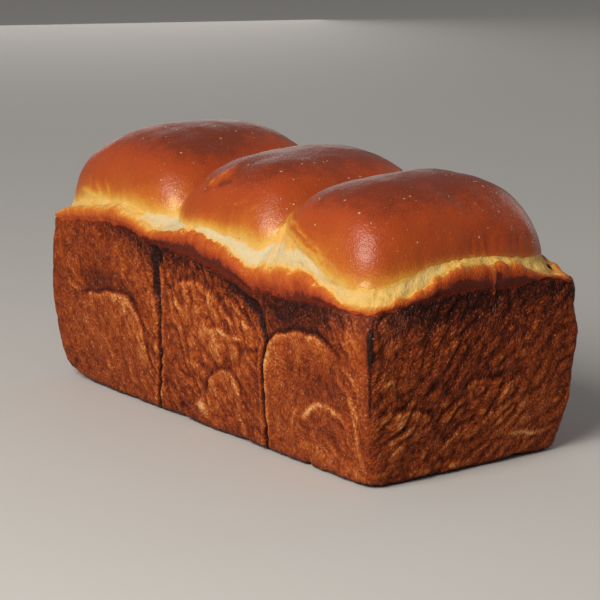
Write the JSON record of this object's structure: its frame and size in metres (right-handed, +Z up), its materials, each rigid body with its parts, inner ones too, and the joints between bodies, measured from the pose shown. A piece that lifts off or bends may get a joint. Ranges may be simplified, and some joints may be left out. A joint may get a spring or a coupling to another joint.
{
  "type": "tin loaf",
  "caption": "Whole unsliced loaf of white milk bread, baked in an open tin, with a browned box-shaped crust, a pale torn band above the rim and glossy rounded humps on top",
  "frame": {"origin": "centre of the bottom of the loaf's bounding box, on the surface that it stands on", "axes": "+X runs along the loaf, +Y across it, +Z up"},
  "size_m": [0.2462, 0.1136, 0.1218],
  "materials": {
    "crust": null
  },
  "bodies": {
    "root": {"loaf": "crust"}
  },
  "joints": []
}
